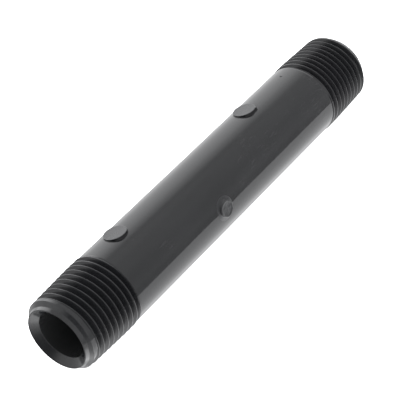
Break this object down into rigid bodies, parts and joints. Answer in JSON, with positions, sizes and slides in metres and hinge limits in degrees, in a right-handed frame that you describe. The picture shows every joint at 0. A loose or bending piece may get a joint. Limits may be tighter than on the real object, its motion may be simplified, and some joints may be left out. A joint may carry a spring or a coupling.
{
  "type": "threaded pipe nipple",
  "caption": "Straight black plastic pipe nipple with a plain round barrel, a through bore and a tapered male pipe thread on each end.",
  "frame": {"origin": "on the pipe axis at mid-length", "axes": "+X along the pipe axis towards the right threaded end; +Z the way the mould opens, which the two ejector pads face; the parting plane is XY, with the gate stub on the -Y side"},
  "size_m": [0.127, 0.022, 0.0216],
  "materials": {
    "moulded_black": "semi-gloss as moulded",
    "pad_face": "satin, finely stippled ejector mark",
    "gate_break": "matt, rough sheared plastic"
  },
  "bodies": {
    "root": {"barrel": "moulded_black", "threaded_end_left": "moulded_black", "threaded_end_right": "moulded_black", "ejector_pad_left": "pad_face", "ejector_pad_right": "pad_face", "gate_stub": "gate_break", "witness_pip": "moulded_black", "flash_line_gate_side": "moulded_black", "flash_line_plain_side": "moulded_black"}
  },
  "joints": []
}
